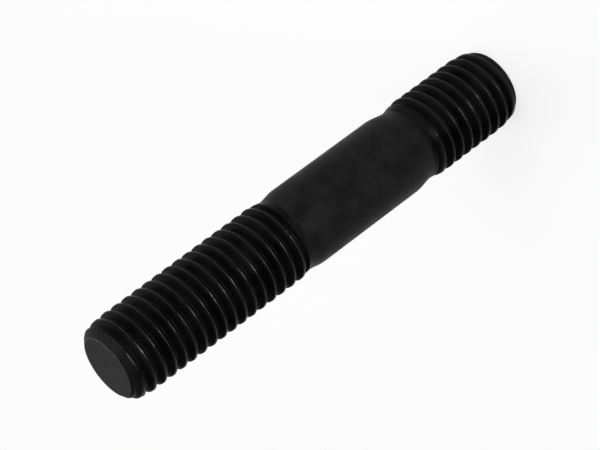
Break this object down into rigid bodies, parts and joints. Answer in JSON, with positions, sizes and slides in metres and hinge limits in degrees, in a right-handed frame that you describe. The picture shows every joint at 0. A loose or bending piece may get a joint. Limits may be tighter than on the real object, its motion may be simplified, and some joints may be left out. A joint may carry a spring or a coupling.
{
  "type": "stud bolt",
  "caption": "Double-ended stud bolt: long nut end, short metal end and a full-size plain shank between them, in black-finished steel.",
  "frame": {"origin": "centre of the metal end's flat face, on which the stud stands", "axes": "+Z along the stud's axis, from the short metal end up to the long nut end; the shape is round, so X and Y only set where the threads start"},
  "size_m": [0.0118, 0.0118, 0.0712],
  "materials": {
    "black_steel": "satin"
  },
  "bodies": {
    "root": {"stud": "black_steel"}
  },
  "joints": []
}
